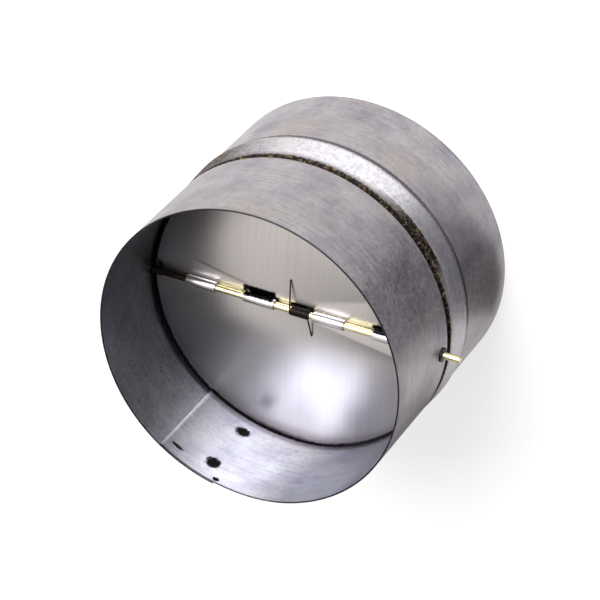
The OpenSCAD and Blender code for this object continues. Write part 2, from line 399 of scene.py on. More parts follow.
@dataclass(frozen=True)
class GalvanisedSheet:
    """Hot-dip galvanised steel sheet, cold rolled and rolled up into a duct.

    The zinc has a faint, blurred spangle. Handling and rolling leave fine streaks that run round the
    duct, warm grey clouds and a lilac tint, and a satin gloss that stretches highlights. The bead has a
    painted highlight, and the groove holds oily grime; painted shade lies along the bead's foot, on its face
    round one side, in the crevice under the leaves and on the inner wall round them.
    """

    name: str = "galvanised_steel_rolled"
    # Clouds of tone, wider warm clouds, blurred spangle, ragged edges, crumbs of the groove's dirt and of
    # the painted shade on the bead, the rolls' streaks, which are 0.05 mm wide and are drawn ten times
    # coarser, to show, and the pits in them
    grains: tuple[Grain, ...] = (
        Grain((12.0, 12.0, 12.0), 5.0, 0.6),
        Grain((27.6, 27.6, 27.6), 2.0, 0.6),
        Grain((1.3, 1.3, 1.3), 4.0, 0.75, 0.6),
        Grain((0.9, 0.9, 0.9), 4.0, 0.7),
        Grain((1.1, 1.1, 1.1), 4.0, 0.8),
        Grain((16.0, 16.0, 0.5), 3.0, 0.7),
        Grain((16.0 / 1.4, 16.0 / 1.4, 0.5 / 1.4), 6.0, 0.85),
    )

    zinc_tones: Tones = ((0.33, "#a29ea6"), (0.5, "#b7b3b6"), (0.66, "#c4c1c2"))
    spangle_tones: Tones = ((0.32, "#a0a0a9"), (0.5, "#dddde1"), (0.66, "#ffffff"))
    streak_tones: Tones = ((0.34, "#acacb4"), (0.52, "#efeff1"), (0.7, "#ffffff"))
    pit_tones: Tones = ((0.34, "#6a6a74"), (0.44, "#f2f2f4"), (0.6, "#ffffff"))
    # Dirt in the groove and on the bead's slope, and painted shade on the bead's face
    dirt_and_shade_tones: Tones = ((0.42, "#080707"), (0.51, "#1b1613"), (0.58, "#4c3f31"), (0.69, "#a0865f"))
    warm: str = "#c0b8b3"
    # No hand has touched the zinc inside, so it is bluer there
    untouched: str = "#e6eef8"
    # The colour of the painted highlight on the bead
    highlight_colour: str = "#f3f1f8"
    # Painted shade along the bead's foot
    foot_shade: str = "#4c4752"
    # Painted shade on the inner wall round the leaves
    shade_round_leaves: str = "#6b6873"
    # Painted shade in the crevice under the leaves
    crevice_shade: str = "#08070a"
    sheared: str = "#4d4950"
    burnt: str = "#040304"

    spangle_share: float = 0.42
    streak_share: float = 0.32
    pit_share: float = 0.6
    # How much of the painted shade along the bead's foot shows
    foot_shade_share: float = 0.9
    warm_range: tuple[float, ...] = (0.46, 0.66, 0.0, 0.7)
    # The bead's painted highlight is weakest away from its brightest arc, and it is speckled
    highlight_strength_range: tuple[float, ...] = (0.0, 1.0, 0.3, 1.0)
    highlight_speckle_range: tuple[float, ...] = (0.34, 0.56, 0.45, 1.0)
    # Breaks up the painted shade on the bead's face
    shade_break_up_range: tuple[float, ...] = (0.46, 0.62, 1.0, 0.8)

    # Heights: the painted shade line at the bead's foot, the bead with its painted highlight, its slope
    # where it is soiled, its face where painted shade lies, the groove, the painted shade in the crevice
    # under the leaves and the painted shade on the wall round them
    rings: tuple[Stretch, ...] = (
        Stretch(28.9, 31.2, 0.4),
        Stretch(31.8, 40.8, 1.1),
        Stretch(39.2, 42.4, 0.5),
        Stretch(31.8, 42.4, 1.2),
        Stretch(41.9, 44.5, 0.35),
        Stretch(44.7, 46.3, 0.3),
        Stretch(42.0, 48.4, 1.0),
    )
    between_ends: Stretch = Stretch(0.3, 79.7, 0.12)
    # Azimuths: where the bead's painted highlight is brightest, where dirt lies on the bead's slope, and
    # where painted shade lies on its face
    arcs: tuple[Stretch, ...] = (
        Stretch(52.0, 100.0, 20.0),
        Stretch(22.0, 60.0, 12.0),
        Stretch(115.0, 160.0, 18.0),
    )
    ring_wander: float = 1.6

    gloss_outside: tuple[float, float] = (0.42, 0.58)
    gloss_inside: tuple[float, float] = (0.27, 0.4)
    # Roughness under the bead's painted highlight
    gloss_highlight: float = 0.34
    # Roughness of the dirt and of the painted shade
    gloss_dirt_and_shade: float = 0.65
    gloss_from: tuple[float, float] = (0.3, 0.7)
    relief: float = 0.016
    # Relief of the dirt and of the painted shade
    dirt_and_shade_build_up: float = 1.6
    dull_specular: float = 0.1

    inner_wall: float = 48.97
    scorch_depth: float = 2.0
    scorch_fray: float = 1.3
    scorch_edge: tuple[float, float] = (1.35, 1.7)
    scorches: tuple[Scorch, ...] = (
        Scorch(-105.5, 52.6, 2.7, 2.2),
        Scorch(-106.0, 72.3, 2.6, 2.7),
        Scorch(-120.0, 75.7, 2.4, 0.8),
        Scorch(-101.0, 78.6, 1.3, 1.0),
        Scorch(-105.5, 20.0, 2.5, 2.2),
        Scorch(-105.5, 7.7, 2.5, 2.2),
    )

    def scorched(self, add: AddNode, where: Socket, fray: Socket) -> Socket:
        """Adds a mask that is 1 in the burnt spots.

        Args:
            add: adds a node.
            where: the coordinates, in metres.
            fray: noise that frays the spots' edges.

        Returns:
            The mask.
        """
        whole = 0.0
        for spot in self.scorches:
            a = math.radians(spot.azimuth)
            centre = Vector((math.cos(a) * self.inner_wall, math.sin(a) * self.inner_wall, spot.height))
            reach = Vector((self.scorch_depth, spot.along, spot.across))
            local = add("Mapping", (where, centre * MM, (0.0, 0.0, a), reach * MM), vector_type="TEXTURE")
            away = add("VectorMath", (local,), "Value", operation="LENGTH")
            away = add("Math", (fray, self.scorch_fray, away), operation="MULTIPLY_ADD")
            shape = (away, *self.scorch_edge, 1.0, 0.0)
            burnt = add("MapRange", shape, **SMOOTH)
            whole = add("Math", (whole, burnt), operation="MAXIMUM")
        return whole

    def material(self) -> Material:
        """Builds the material.

        Returns:
            The finished material.
        """
        material, add = new_material(self.name)
        where = add("TexCoord", out="Object")
        x, y, z = add("SeparateXYZ", (where,)).node.outputs
        azimuth = add("Math", (y, x), operation="ARCTAN2")
        # A face lies outside where its normal points away from the duct's axis
        spoke = add("VectorMath", (where, (1.0, 1.0, 0.0)), operation="MULTIPLY")
        normal = where.node.outputs["Normal"]
        facing = add("VectorMath", (spoke, normal), "Value", operation="DOT_PRODUCT")
        outside = add("Math", (facing, 0.0), operation="GREATER_THAN")
        inside = add("Math", (1.0, outside), operation="SUBTRACT")

        clouds, warm_clouds, spangle, fray, crumbs, streaks, pits = add_grains(add, where, self.grains)
        ramps = (
            (clouds, self.zinc_tones),
            (spangle, self.spangle_tones),
            (streaks, self.streak_tones),
            (pits, self.pit_tones),
            (crumbs, self.dirt_and_shade_tones),
        )
        colour, spangle_tone, streak_tone, pit_tone, dirt_and_shade_colour = (
            add("ValToRGB", (pattern,), stops=tones) for pattern, tones in ramps
        )

        # The rings wander up and down a little, so that none looks ruled
        shift = add("Math", (fray, 0.5), operation="SUBTRACT")
        wavy = add("Math", (shift, self.ring_wander * MM, z), operation="MULTIPLY_ADD")
        line, bead, slope, face, groove, crevice, shaded = (
            ring.mask(add, wavy, MM) for ring in self.rings
        )
        # Where the bead's painted highlight is brightest, where its slope is soiled and where painted shade
        # lies on its face
        highlight_arc, slope_arc, face_arc = (arc.mask(add, azimuth, DEGREE) for arc in self.arcs)
        uncut = self.between_ends.mask(add, z, MM)
        ranges = (
            (warm_clouds, self.warm_range),
            (highlight_arc, self.highlight_strength_range),
            (spangle, self.highlight_speckle_range),
            (spangle, self.shade_break_up_range),
        )
        warmth, highlight_strength, highlight_speckle, shade_break_up = (
            add("MapRange", (pattern, *limits)) for pattern, limits in ranges
        )
        # The bead's painted highlight, painted shade along its foot, dirt on its slope, painted shade on its
        # face, in the crevice under the leaves and on the wall round them, and the weld burns
        joined = {
            "painted_highlight": (bead, outside, highlight_strength, highlight_speckle),
            "line": (line, outside, self.foot_shade_share),
            "slope": (slope, slope_arc),
            "face": (face, face_arc, shade_break_up),
            "crevice": (crevice, inside),
            "shaded": (shaded, inside),
            "burnt": (self.scorched(add, where, fray), inside),
        }
        for name, (whole, *others) in joined.items():
            for other in others:
                whole = add("Math", (whole, other), operation="MULTIPLY")
            joined[name] = whole
        # The groove's dirt spreads onto the bead's slope, and painted shade onto its face
        for dark_patch in (joined["slope"], joined["face"]):
            groove = add("Math", (groove, dark_patch), operation="MAXIMUM")
        groove = add("Math", (groove, outside), operation="MULTIPLY")
        # What lies dark on the zinc: dirt, weld burns and painted shade
        dirt_and_shade = groove
        for dark_patch in (joined["burnt"], joined["crevice"]):
            dirt_and_shade = add("Math", (dirt_and_shade, dark_patch), operation="MAXIMUM")
        bare = add("Math", (1.0, dirt_and_shade), operation="SUBTRACT")
        cut = add("Math", (1.0, uncut), operation="SUBTRACT")

        # From the bare zinc up to what lies on it, with the painted highlight and the painted shade among
        # the layers
        layers = (
            (warmth, self.warm, "MIX"),
            (self.spangle_share, spangle_tone, "MULTIPLY"),
            (self.streak_share, streak_tone, "MULTIPLY"),
            (self.pit_share, pit_tone, "MULTIPLY"),
            (inside, self.untouched, "MULTIPLY"),
            (joined["painted_highlight"], self.highlight_colour, "MIX"),
            (joined["line"], self.foot_shade, "MIX"),
            (groove, dirt_and_shade_colour, "MIX"),
            (joined["shaded"], self.shade_round_leaves, "MIX"),
            (joined["crevice"], self.crevice_shade, "MIX"),
            (cut, self.sheared, "MIX"),
            (joined["burnt"], self.burnt, "MIX"),
        )
        for share, tint, how in layers:
            colour = add("Mix", {0: share, 6: colour, 7: tint}, 2, data_type="RGBA", blend_type=how)
        gloss, gloss_outside = (
            add("MapRange", (spangle, *self.gloss_from, *limits), **SMOOTH)
            for limits in (self.gloss_inside, self.gloss_outside)
        )
        coats = (
            (outside, gloss_outside),
            (joined["painted_highlight"], self.gloss_highlight),
            (dirt_and_shade, self.gloss_dirt_and_shade),
        )
        for share, level in coats:
            gloss = add("Mix", {0: share, 2: gloss, 3: level}, data_type="FLOAT")
        bumps = add("Math", (streaks, spangle), operation="ADD")
        bumps = add("Math", (dirt_and_shade, self.dirt_and_shade_build_up, bumps), operation="MULTIPLY_ADD")
        surface = {
            "Base Color": colour,
            "Metallic": bare,
            "Roughness": gloss,
            "Specular IOR Level": self.dull_specular,
            "Normal": add("Bump", {"Distance": self.relief * MM, "Height": bumps}),
        }
        add("OutputMaterial", (add("BsdfPrincipled", surface),))
        return material


@dataclass(frozen=True)
class MillAluminium:
    """Aluminium sheet with a mill finish, as it comes off the rolls.

    It is brighter and smoother than the zinc, so it mirrors the duct's wall softly. Rolling leaves
    hair lines along one direction, and the sheet is never quite flat.
    """

    name: str = "mill_aluminium_rolled"
    tones: Tones = ((0.35, "#d1cecf"), (0.65, "#d6d3d3"))
    # The rolls' hair lines are a few hundredths of a millimetre wide and drawn coarser, to show
    hair: Grain = Grain((0.6, 60.0, 60.0))
    waves: Grain = Grain((24.0, 24.0, 24.0), 0.0)
    gloss_range: tuple[float, ...] = (0.2, 0.8, 0.31, 0.37)
    hair_relief: float = 0.0007
    wave_relief: float = 0.12
    # Painted shade darkens the sheet beside the notches in the upper leaf: along the rod, and away from it
    notch_shade: str = "#141215"
    notch_shade_fray: Grain = Grain((0.8, 0.8, 0.8))
    notch_shade_shift: float = 0.9
    notch_shade_spots: tuple[tuple[Stretch, Stretch], ...] = (
        (Stretch(-17.3, -6.3, 0.25), Stretch(1.6, 3.9, 0.3)),
        (Stretch(26.6, 37.2, 0.25), Stretch(1.6, 3.2, 0.3)),
    )

    def notch_shaded(self, add: AddNode, where: Socket, fray: Socket) -> Socket:
        """Adds a mask that is 1 where shade is painted beside the notches.

        Args:
            add: adds a node.
            where: the coordinates, in metres.
            fray: noise that frays the spots' edges.

        Returns:
            The mask.
        """
        shift = add("Math", (fray, self.notch_shade_shift * MM), operation="MULTIPLY")
        moved = add("VectorMath", (where, shift), operation="ADD")
        x, y, _ = add("SeparateXYZ", (moved,)).node.outputs
        whole = 0.0
        for along, away in self.notch_shade_spots:
            sides = (along.mask(add, x, MM), away.mask(add, y, MM))
            spot = add("Math", sides, operation="MULTIPLY")
            whole = add("Math", (whole, spot), operation="MAXIMUM")
        return whole

    def material(self) -> Material:
        """Builds the material.

        Returns:
            The finished material.
        """
        material, add = new_material(self.name)
        where = add("TexCoord", out="Object")
        hair, waves, fray = add_grains(add, where, (self.hair, self.waves, self.notch_shade_fray))
        tone = add("ValToRGB", (hair,), stops=self.tones)
        # Painted shade beside the notches in the upper leaf
        notch_shade = self.notch_shaded(add, where, fray)
        fine = add("Bump", {"Distance": self.hair_relief * MM, "Height": hair})
        wavy = {"Distance": self.wave_relief * MM, "Height": waves, "Normal": fine}
        surface = {
            "Base Color": add("Mix", {0: notch_shade, 6: tone, 7: self.notch_shade}, 2, data_type="RGBA"),
            "Metallic": 1.0,
            "Roughness": add("MapRange", (waves, *self.gloss_range), **SMOOTH),
            "Normal": add("Bump", wavy),
        }
        add("OutputMaterial", (add("BsdfPrincipled", surface),))
        return material


@dataclass(frozen=True)
class SmallPartFinish:
    """The finish of a small part: two close tones in the lines or the grain of its making.

    The real lines and grains are finer than the sizes here, which are as coarse as they need to be
    to show.
    """

    name: str
    tones: tuple[str, str]
    grain: tuple[float, float, float]
    gloss: tuple[float, float]
    relief: float
    metallic: float = 1.0
    # Painted shade towards -X: where along X it is full and where it ends, and its colour
    end_shade_from: Optional[tuple[float, float]] = None
    end_shade: str = "#4f473b"
    tone_stops: tuple[float, float] = (0.36, 0.6)
    gloss_from: tuple[float, float] = (0.3, 0.7)

    def material(self) -> Material:
        """Builds the material.

        Returns:
            The finished material.
        """
        material, add = new_material(self.name)
        where = add("TexCoord", out="Object")
        (lines,) = add_grains(add, where, (Grain(self.grain, 3.0),))
        colour = add("ValToRGB", (lines,), stops=tuple(zip(self.tone_stops, self.tones)))
        # Painted shade darkens the part towards -X
        if self.end_shade_from:
            x = add("SeparateXYZ", (where,))
            limits = (limit * MM for limit in self.end_shade_from)
            end_shaded = add("MapRange", (x, *limits, 1.0, 0.0), **SMOOTH)
            colour = add("Mix", {0: end_shaded, 6: colour, 7: self.end_shade}, 2, data_type="RGBA")
        surface = {
            "Base Color": colour,
            "Metallic": self.metallic,
            "Roughness": add("MapRange", (lines, *self.gloss_from, *self.gloss)),
            "Normal": add("Bump", {"Distance": self.relief * MM, "Height": lines}),
        }
        add("OutputMaterial", (add("BsdfPrincipled", surface),))
        return material


# Sheared steel: the blade smears the zinc off the sheet's edge, which looks dark and dull
SHEARED_EDGE = SmallPartFinish(
    "steel_edge_sheared", ("#2a272b", "#3a363a"), (0.3, 0.3, 0.3), (0.45, 0.65), 0.01
)
# Drawn brass: a bright yellow gloss with fine lines along the rod, and painted shade at the -X end
DRAWN_BRASS = SmallPartFinish(
    "brass_drawn_rod", ("#d8cb98", "#f0e6bc"), (20.0, 0.2, 0.2), (0.2, 0.34), 0.004,
    end_shade_from=(-31.0, -27.0),
)
# Moulded nylon: black, with the mould's fine grain and a soft gloss
MOULDED_NYLON = SmallPartFinish(
    "nylon_moulded_black", ("#121113", "#1c1b1d"), (0.8, 0.8, 0.8), (0.4, 0.55), 0.01, metallic=0.0
)
# Blackened spring wire: oil burnt on in tempering leaves it nearly black, with a dull sheen
TEMPERED_WIRE = SmallPartFinish(
    "spring_wire_blackened", ("#221e1f", "#463f3e"), (0.4, 0.4, 0.4), (0.35, 0.5), 0.004
)


# Studio


@dataclass(frozen=True)
class Stand:
    """Where a lamp, a card or the camera stands: its direction and distance, and its size."""

    azimuth: float
    elevation: float
    away: float
    size: float = 0.0

    def facing(self, aim: Vector) -> Matrix:
        """Gives the place there, turned so that its own -Z points at the aim.

        Args:
            aim: the point that is aimed at.

        Returns:
            The place and the turn, in metres.
        """
        a, e = math.radians(self.azimuth), math.radians(self.elevation)
        way = Vector((math.cos(e) * math.cos(a), math.cos(e) * math.sin(a), math.sin(e)))
        turned = way.to_track_quat("Z", "Y").to_matrix().to_4x4()
        return Matrix.Translation((aim + way * self.away) * MM) @ turned


@dataclass(frozen=True)
class Studio:
    """The pale floor, the soft light, the cards that bright metal mirrors, and the camera."""

    aim: tuple[float, float, float] = (-0.31, 0.6, 42.86)
    camera: Stand = Stand(56.685, 50.543, 966.2)
    camera_roll: float = -136.552
    # The lens that was fitted to the photograph, in pixels of its width
    focal_px: float = 3140.1
    picture_px: float = 600.0
    sensor: float = 36.0
    camera_near: float = 50.0
    lamp: Stand = Stand(112.0, 50.0, 1500.0, 1250.0)
    lamp_watts: float = 43.0
    dark_cards: tuple[Stand, ...] = (Stand(6.0, 50.0, 900.0, 1050.0), Stand(-67.0, 50.0, 900.0, 640.0))
    dark_colour: str = "#151416"
    # The middle and the size of each grey card on the floor
    floor_cards: tuple[tuple[float, float, float, float], ...] = (
        (137.0, 40.0, 170.0, 110.0),
        (45.0, -90.0, 110.0, 70.0),
    )
    floor_card_colour: str = "#67656d"
    floor_card_lift: float = 0.5
    floor_size: float = 6000.0
    floor_colour: str = "#f4f3f2"
    floor_roughness: float = 0.5
    # How much of the floor that a ray sees is plain white, and how bright that part is
    white_share: float = 0.6
    white_strength: float = 1.22
    duct_edge: tuple[float, float] = (49.0, 50.0)
    room_colour: str = "#f6f0eb"
    room_light: float = 0.5
    room_seen: float = 0.88

    def build_camera(self) -> None:
        """Sets up the camera at the photograph's angle."""
        data = bpy.data.cameras.new("camera")
        data.sensor_width = self.sensor
        data.lens = self.sensor * self.focal_px / self.picture_px
        data.clip_start = self.camera_near * MM
        camera = bpy.data.objects.new("camera", data)
        bpy.context.scene.collection.objects.link(camera)
        roll = Matrix.Rotation(math.radians(self.camera_roll), 4, "Z")
        camera.matrix_world = self.camera.facing(Vector(self.aim)) @ roll
        bpy.context.scene.camera = camera

    def seen(self, add: AddNode) -> Socket:
        """Adds a value that is 1 for camera, glossy and transmission rays.

        Args:
            add: adds a node.

        Returns:
            The value.
        """
        rays = add("LightPath").node.outputs
        seen = rays["Is Camera Ray"]
        for ray in ("Is Glossy Ray", "Is Transmission Ray"):
            seen = add("Math", (seen, rays[ray]), operation="MAXIMUM")
        return seen

    def build_floor(self) -> None:
        """Lays the pale floor that the damper stands on."""
        deselect()
        bpy.ops.mesh.primitive_plane_add(size=self.floor_size * MM, location=(0, 0, 0))
        floor = bpy.context.object
        floor.name = "studio_floor"
        material, add = new_material("studio_paper_matt")
        # No light reaches the paper under the closed leaves, so it doesn't look white in there
        away = add("VectorMath", (add("TexCoord", out="Object"),), "Value", operation="LENGTH")
        edge = (limit * MM for limit in self.duct_edge)
        clear = add("MapRange", (away, *edge, 0.0, self.white_share))
        share = add("Math", (self.seen(add), clear), operation="MULTIPLY")
        paper = add("BsdfDiffuse", (self.floor_colour, self.floor_roughness))
        white = add("Emission", ("#ffffff", self.white_strength))
        add("OutputMaterial", (add("MixShader", (share, paper, white)),))
        dress(floor, material)

    def build_world(self) -> None:
        """Fills the room with plain pale light, as bright as it looks where a ray sees it."""
        world = bpy.data.worlds.new("studio_room")
        world.use_nodes = True
        world.node_tree.nodes.clear()
        add = partial(add_node, world.node_tree)
        level = add("MapRange", (self.seen(add), 0.0, 1.0, self.room_light, self.room_seen))
        add("OutputWorld", (add("Background", (self.room_colour, level)),))
        bpy.context.scene.world = world

    def hang_lamp(self) -> None:
        """Hangs the soft square lamp that points at the damper."""
        data = bpy.data.lights.new("lamp_key", "AREA")
        data.shape = "SQUARE"
        data.size = self.lamp.size * MM
        data.energy = self.lamp_watts
        lamp = bpy.data.objects.new("lamp_key", data)
        bpy.context.scene.collection.objects.link(lamp)
        lamp.matrix_world = self.lamp.facing(Vector(self.aim))

    def add_card(self, name: str, kind: str, colour: str, spot: Matrix) -> Piece:
        """Stands a matt card where bright sheet mirrors it and the camera doesn't see it.

        Args:
            name: the card's name.
            kind: the name of its material.
            colour: its colour.
            spot: its place, turn and size, in metres.

        Returns:
            The card.
        """
        deselect()
        bpy.ops.mesh.primitive_plane_add(size=1.0)
        card = bpy.context.object
        card.name = name
        card.matrix_world = spot
        material, add = new_material(kind)
        add("OutputMaterial", (add("BsdfDiffuse", (colour,)),))
        dress(card, material)
        card.visible_camera = False
        return card

    def build(self) -> None:
        """Sets up the whole studio."""
        bpy.context.scene.view_settings.view_transform = "Standard"
        self.build_camera()
        self.build_floor()
        self.build_world()
        self.hang_lamp()
        for number, stand in enumerate(self.dark_cards):
            spot = stand.facing(Vector(self.aim)) @ Matrix.Diagonal((stand.size * MM, stand.size * MM, 1, 1))
            self.add_card(f"dark_card_{number}", "studio_card_black", self.dark_colour, spot)
        for number, (x, y, length, width) in enumerate(self.floor_cards):
            spot = Matrix.Translation(Vector((x, y, self.floor_card_lift)) * MM)
            spot = spot @ Matrix.Diagonal((length * MM, width * MM, 1, 1))
            name = f"floor_card_{number}"
            card = self.add_card(name, "studio_card_grey", self.floor_card_colour, spot)
            card.visible_diffuse = False
            card.visible_shadow = False


# Casing


@dataclass
class CasingSheet:
    """The rolled casing: one strip of sheet with a bead, a groove and a lapped seam."""

    radius: float = 50.0
    height: float = 80.0
    thickness: float = 0.5
    edge_round: float = 0.07
    groove_z: float = 43.4
    groove_depth: float = 1.6
    groove_half: float = 1.5
    bead_height: float = 0.6
    bead_from: float = 29.2
    bead_to: float = 42.4
    bead_rise: float = 2.5
    lap_from: float = -125.0
    lap_to: float = -101.0
    lap_gap: float = 0.03
    joggle: float = 30.0
    end_gap: float = 0.3
    step_angle: float = 1.5
    offset_samples: int = 8
    lap_round: float = 0.2
    welds: tuple[tuple[float, float], ...] = (
        (-105.5, 7.7), (-105.5, 20.0), (-105.5, 52.6), (-106.0, 72.3),
    )
    # The electrode raises a wide lip and then sinks a narrow dent: reach and depth of each
    weld_presses: tuple[tuple[float, float], ...] = ((3.6, -0.12), (2.6, 0.34))
    # How far round a weld the sheet gets a finer mesh, what the tip touches, and how deep it picks
    weld_field: float = 6.0
    weld_cuts: int = 3
    weld_tip: float = 0.7
    weld_skin: float = 0.1
    hole_radius: float = 1.65
    drill_length: float = 110.0

    def ramp(self, z: float, start: float, end: float) -> float:
        """Rises smoothly from 0 to 1 between two heights."""
        share = min(max((z - start) / (end - start), 0.0), 1.0)
        return (1 - math.cos(math.pi * share)) / 2

    def middle(self, z: float) -> float:
        """Gives the radius of the sheet's middle.

        Args:
            z: the height.

        Returns:
            The radius at that height.
        """
        crest = self.bead_from + self.bead_rise
        if z <= crest:
            bead = self.ramp(z, self.bead_from, crest)
        else:
            bead = max(0.0, (self.bead_to - z) / (self.bead_to - crest))
        groove = self.ramp(z, self.groove_z - self.groove_half, self.groove_z) - self.ramp(
            z, self.groove_z, self.groove_z + self.groove_half
        )
        return self.radius - self.thickness / 2 + self.bead_height * bead - self.groove_depth * groove

    def surface(self, z: float, depth: float) -> float:
        """Gives the radius of the surface that lies a depth inside the sheet's middle.

        Args:
            z: the height.
            depth: the distance inside the middle, or outside it where negative.

        Returns:
            The radius at that height.
        """
        reach, steps = abs(depth), self.offset_samples
        side = 1 if depth < 0 else -1
        radii = []
        for i in range(-steps, steps + 1):
            along = reach * i / steps
            across = math.sqrt(max(0.0, reach * reach - along * along))
            radii.append(self.middle(z + along) + side * across)
        return max(radii) if depth < 0 else min(radii)

    def heights(self) -> list[float]:
        """Lists the heights of the section's points.

        Returns:
            The heights, close together where the sheet bends.
        """
        crest = self.bead_from + self.bead_rise
        groove_from = self.groove_z - self.groove_half
        groove_to = self.groove_z + self.groove_half
        # Each span: where it starts and ends, in how many steps
        spans = (
            (self.edge_round, self.bead_from - 2.5, 8),
            (self.bead_from - 0.5, crest + 0.5, 12),
            (crest + 1.7, groove_from - 0.9, 5),
            (groove_from - 0.3, groove_to + 0.6, 34),
            (groove_to + 2.5, self.height - self.edge_round, 10),
        )
        return [low + (high - low) * i / n for low, high, n in spans for i in range(n + 1)]

    def section(self, layer: int, azimuth: float) -> list[Vector]:
        """Gives the closed outline of the sheet, cut through at an azimuth.

        Args:
            layer: 0 for the outer layer, 1 for the one tucked under it.
            azimuth: the direction of the cut in degrees.

        Returns:
            The outline's corners in millimetres.
        """
        middle = layer * (self.thickness + self.lap_gap)
        half, edge = self.thickness / 2, self.edge_round
        outer = [(self.surface(z, middle - half), z) for z in self.heights()]
        inner = [(self.surface(z, middle + half), z) for z in self.heights()]
        top = [(outer[-1][0] - edge, self.height), (inner[-1][0] + edge, self.height)]
        foot = [(inner[0][0] + edge, 0.0), (outer[0][0] - edge, 0.0)]
        a = math.radians(azimuth)
        corners = outer + top + inner[::-1] + foot
        return [Vector((r * math.cos(a), r * math.sin(a), z)) for r, z in corners]

    def layer(self, step: int, from_a: float, to_a: float) -> Piece:
        """Spins one layer of the sheet.

        Args:
            step: 0 for the outer layer, 1 for the inner one.
            from_a: the azimuth where it starts.
            to_a: the azimuth where it ends.

        Returns:
            An open-ended strip.
        """
        piece = draw_outline(f"casing_layer_{step}", self.section(step, from_a))
        steps = max(2, round((to_a - from_a) / self.step_angle))
        spin_round(piece, Vector((0, 0, 0)), Vector((0, 0, 1)), to_a - from_a, steps)
        return piece

    def on_ray(self, point: Vector, azimuth: float) -> bool:
        """Says whether a point lies in the half plane at an azimuth.

        Args:
            point: the point, in metres.
            azimuth: the half plane's direction.

        Returns:
            True where it does.
        """
        a = math.radians(azimuth)
        across = -point.x * math.sin(a) + point.y * math.cos(a)
        along = point.x * math.cos(a) + point.y * math.sin(a)
        return abs(across) < 1e-5 and along > 0

    def build(self) -> Piece:
        """Makes the casing.

        Returns:
            The piece, without its materials.
        """
        tucked = self.layer(1, self.lap_from, self.lap_to)
        casing = self.layer(0, self.lap_to + self.step_angle, self.lap_to + 360 - self.end_gap)
        self.ease_inward(casing)
        for piece, azimuth in ((casing, self.lap_to + self.step_angle), (tucked, self.lap_to)):
            group = piece.vertex_groups.new(name="meeting_edge")
            ends = [v.index for v in piece.data.vertices if self.on_ray(v.co, azimuth)]
            group.add(ends, 1.0, "REPLACE")
        pick(casing, tucked)
        bpy.ops.object.join()
        casing.name = "casing_sheet"
        choose(casing, "VERT", lambda v: False)
        bpy.ops.object.vertex_group_set_active(group="meeting_edge")
        bpy.ops.object.vertex_group_select()
        bpy.ops.mesh.select_mode(type="EDGE")
        bpy.ops.mesh.bridge_edge_loops()
        bpy.ops.mesh.select_all(action="SELECT")
        bpy.ops.mesh.fill_holes(sides=0)
        deselect()
        tidy_mesh(casing)
        self.round_lap_edge(casing)
        for azimuth, z in self.welds:
            self.press_weld(casing, azimuth, z)
        drill = lay_bar(self.hole_radius, self.drill_length)
        apply_modifier(casing, "BOOLEAN", operation="DIFFERENCE", object=drill, solver="EXACT")
        bpy.data.objects.remove(drill)
        shade(casing)
        return casing

    def ease_inward(self, strip: Piece) -> None:
        """Draws the strip's beginning in, column by column, so that it meets the tucked layer.

        Args:
            strip: the outer layer.
        """
        inward = self.thickness + self.lap_gap
        columns = round(self.joggle / self.step_angle)
        turn = 360 - self.end_gap - self.step_angle
        stride = turn / round(turn / self.step_angle)
        for i in range(columns):
            azimuth = self.lap_to + self.step_angle + i * stride
            share = 1 - self.ramp(i + 1, 0, columns)
            choose(strip, "VERT", lambda v: self.on_ray(v.co, azimuth))
            drawn = 1 - share * inward / self.radius
            bpy.ops.transform.resize(value=(drawn, drawn, 1), center_override=(0, 0, 0))
            deselect()

    def round_lap_edge(self, casing: Piece) -> None:
        """Rounds the tucked layer's cut edge, as the shear's rolled side is.

        Args:
            casing: the casing.
        """
        tucked = self.thickness + self.lap_gap
        rim = 0.01

        def on_edge(edge: object) -> bool:
            """Says whether an edge runs up the tucked layer's cut end.

            Args:
                edge: the edge.

            Returns:
                True where it does.
            """
            ends = [v.co / MM for v in edge.verts]
            between = all(rim <= end.z <= self.height - rim for end in ends)
            inner = all(end.xy.length < self.surface(end.z, tucked) for end in ends)
            return between and inner and all(self.on_ray(v.co, self.lap_from) for v in edge.verts)

        choose(casing, "EDGE", on_edge)
        bpy.ops.mesh.bevel(offset=self.lap_round * MM, segments=3)
        deselect()

    def press_weld(self, casing: Piece, azimuth: float, z: float) -> None:
        """Presses a spot weld's shallow dent, with its raised lip, into the tucked layer.

        Args:
            casing: the casing.
            azimuth: the weld's azimuth.
            z: its height.
        """
        a = math.radians(azimuth)
        outward = Vector((math.cos(a), math.sin(a), 0))
        wall = self.radius - self.thickness * 2 - self.lap_gap
        centre = (outward * wall + Vector((0, 0, z))) * MM

        def near(face: object) -> bool:
            """Says whether a face of the inner wall lies round the weld.

            Args:
                face: the face.

            Returns:
                True where it does.
            """
            middle = face.calc_center_median()
            close = (middle - centre).length < self.weld_field * MM
            return close and face.normal.dot(middle.xy.to_3d()) < 0

        def at_tip(vert: object) -> bool:
            """Says whether the electrode's tip touches a point."""
            close = (vert.co - centre).length < self.weld_tip * MM
            return close and vert.co.xy.length < (wall + self.weld_skin) * MM

        choose(casing, "FACE", near)
        bpy.ops.mesh.subdivide(number_cuts=self.weld_cuts)
        deselect()
        for reach, depth in self.weld_presses:
            choose(casing, "VERT", at_tip)
            bpy.ops.transform.translate(
                value=outward * depth * MM, use_proportional_edit=True, proportional_size=reach * MM,
                use_proportional_connected=True, proportional_edit_falloff="SMOOTH",
            )
            deselect()


# Hinge and leaves


@dataclass
class HingeRod:
    """The drawn rod that runs through both walls."""

    radius: float = 1.1
    half_length: float = 56.0
    bevel: float = 0.25

    def build(self) -> Piece:
        """Makes the rod.

        Returns:
            The piece, without its material.
        """
        rod = lay_bar(self.radius, 2 * self.half_length)
        rod.name = "hinge_rod_brass"
        settle(rod)
        end = (self.half_length - 0.01) * MM
        choose(rod, "EDGE", lambda e: all(abs(v.co.x) > end for v in e.verts))
        bpy.ops.mesh.bevel(offset=self.bevel * MM, segments=3)
        deselect()
        shade(rod)
        return rod


